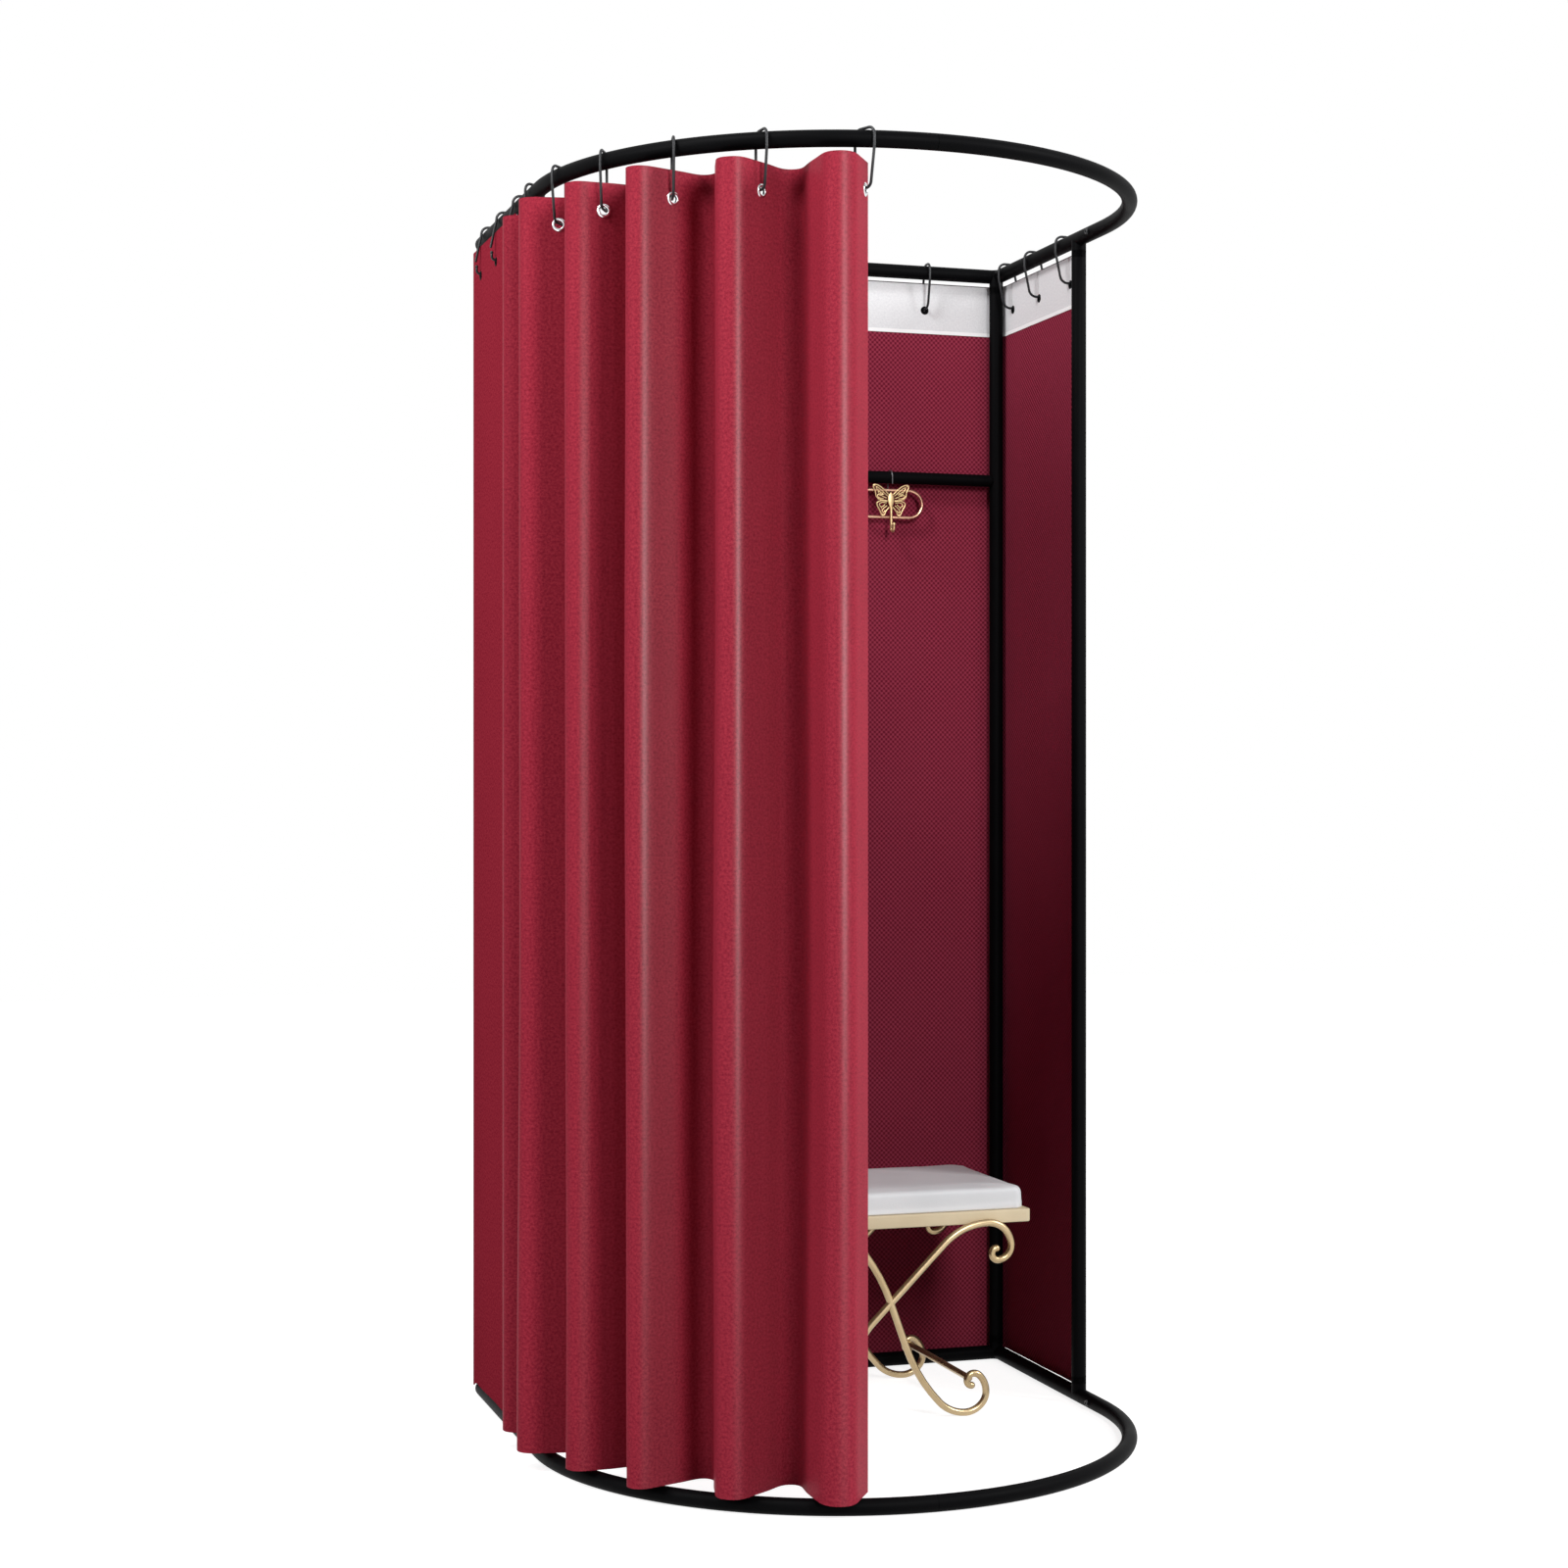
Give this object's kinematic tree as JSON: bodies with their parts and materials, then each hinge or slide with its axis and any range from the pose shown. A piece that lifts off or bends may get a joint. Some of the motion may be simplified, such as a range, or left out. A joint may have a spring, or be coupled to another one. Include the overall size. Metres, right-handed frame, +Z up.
{
  "type": "portable fitting room",
  "caption": "Free-standing fitting room: tube frame with a rounded front, cloth wrap on three sides, hooked front curtain, garment rail, scroll-legged stool and small hanger.",
  "frame": {"origin": "on the floor, under the middle of the base frame's back rail", "axes": "+Z up, +X to the right seen from the front, +Y to the rear"},
  "size_m": [1.0349, 1.0123, 2.0046],
  "materials": {
    "frame_steel": "near-black satin powder coat",
    "hook_wire": "dark grey coated wire",
    "grommet_metal": "bright plated metal",
    "curtain_cloth": "crimson matte cloth",
    "wrap_cloth": "burgundy matte cloth",
    "header_tape": "pale grey woven tape",
    "cushion_leather": "smooth pale grey leather",
    "stool_board": "pale gold paint",
    "stool_gold": "champagne gold paint",
    "hanger_wire": "grey wire",
    "hanger_gold": "rose gold plate"
  },
  "bodies": {
    "frame": {"base_rear_frame": "frame_steel", "top_rear_frame": "frame_steel", "base_front_arc_left": "frame_steel", "base_front_arc_right": "frame_steel", "base_arc_joiner": "frame_steel", "top_front_arc_left": "frame_steel", "top_front_arc_right": "frame_steel", "top_arc_joiner": "frame_steel", "rear_left_post": "frame_steel", "rear_right_post": "frame_steel", "side_left_post": "frame_steel", "side_right_post": "frame_steel", "hanging_rail": "frame_steel", "arc_screw_1": "hook_wire", "arc_screw_2": "hook_wire", "arc_screw_3": "hook_wire", "arc_screw_4": "hook_wire", "back_panel": "wrap_cloth", "left_side_panel": "wrap_cloth", "right_side_panel": "wrap_cloth", "header_tape": "header_tape", "curtain_panel_1": "curtain_cloth", "curtain_grommet_1": "grommet_metal", "curtain_hook_1": "hook_wire", "left_rail_hook_1": "hook_wire", "left_rail_hook_2": "hook_wire", "left_rail_hook_3": "hook_wire", "back_rail_hook_1": "hook_wire", "back_rail_hook_2": "hook_wire", "back_rail_hook_3": "hook_wire", "right_rail_hook_1": "hook_wire", "right_rail_hook_2": "hook_wire", "right_rail_hook_3": "hook_wire"},
    "hanger_hook": {"hanger_hook": "hanger_wire"},
    "hanger_charm": {"hanger_loop": "hanger_gold", "hanger_butterfly": "hanger_gold"},
    "stool": {"stool_seat_board": "stool_board", "stool_cushion": "cushion_leather", "stool_front_legs": "stool_gold", "stool_rear_legs": "stool_gold", "stool_stretcher_left": "stool_gold", "stool_stretcher_right": "stool_gold"},
    "curtain_2": {"curtain_panel_2": "curtain_cloth", "curtain_grommet_2": "grommet_metal", "curtain_hook_2": "hook_wire"},
    "curtain_3": {"curtain_panel_3": "curtain_cloth", "curtain_grommet_3": "grommet_metal", "curtain_hook_3": "hook_wire"},
    "curtain_4": {"curtain_panel_4": "curtain_cloth", "curtain_grommet_4": "grommet_metal", "curtain_hook_4": "hook_wire"},
    "curtain_5": {"curtain_panel_5": "curtain_cloth", "curtain_grommet_5": "grommet_metal", "curtain_hook_5": "hook_wire"},
    "curtain_6": {"curtain_panel_6": "curtain_cloth", "curtain_grommet_6": "grommet_metal", "curtain_hook_6": "hook_wire"}
  },
  "joints": [
    {"name": "curtain_draw", "type": "hinge", "parent": "frame", "child": "curtain_2", "pos_m": [0, -0.466, 0], "axis": [0, 0, 1], "range_deg": [0, 20]},
    {"name": "curtain_spread_3", "type": "hinge", "parent": "curtain_2", "child": "curtain_3", "pos_m": [0, -0.466, 0], "axis": [0, 0, 1], "range_deg": [0, 20]},
    {"name": "curtain_spread_4", "type": "hinge", "parent": "curtain_3", "child": "curtain_4", "pos_m": [0, -0.466, 0], "axis": [0, 0, 1], "range_deg": [0, 20]},
    {"name": "curtain_spread_5", "type": "hinge", "parent": "curtain_4", "child": "curtain_5", "pos_m": [0, -0.466, 0], "axis": [0, 0, 1], "range_deg": [0, 20]},
    {"name": "curtain_spread_6", "type": "hinge", "parent": "curtain_5", "child": "curtain_6", "pos_m": [0, -0.466, 0], "axis": [0, 0, 1], "range_deg": [0, 20]},
    {"name": "hanger_slide", "type": "slide", "parent": "frame", "child": "hanger_hook", "axis": [1, 0, 0], "range_m": [-0.66, 0.12]},
    {"name": "hanger_swing", "type": "hinge", "parent": "hanger_hook", "child": "hanger_charm", "pos_m": [0.27, -0.0041, 1.5886], "axis": [1, 0, 0], "range_deg": [-20, 8]},
    {"name": "stool_slide", "type": "slide", "parent": "frame", "child": "stool", "axis": [0, -1, 0], "range_m": [0, 0.15]}
  ],
  "couplings": [
    {"joint": "curtain_spread_3", "follows": "curtain_draw", "ratio": 1},
    {"joint": "curtain_spread_4", "follows": "curtain_draw", "ratio": 1},
    {"joint": "curtain_spread_5", "follows": "curtain_draw", "ratio": 1},
    {"joint": "curtain_spread_6", "follows": "curtain_draw", "ratio": 1}
  ]
}
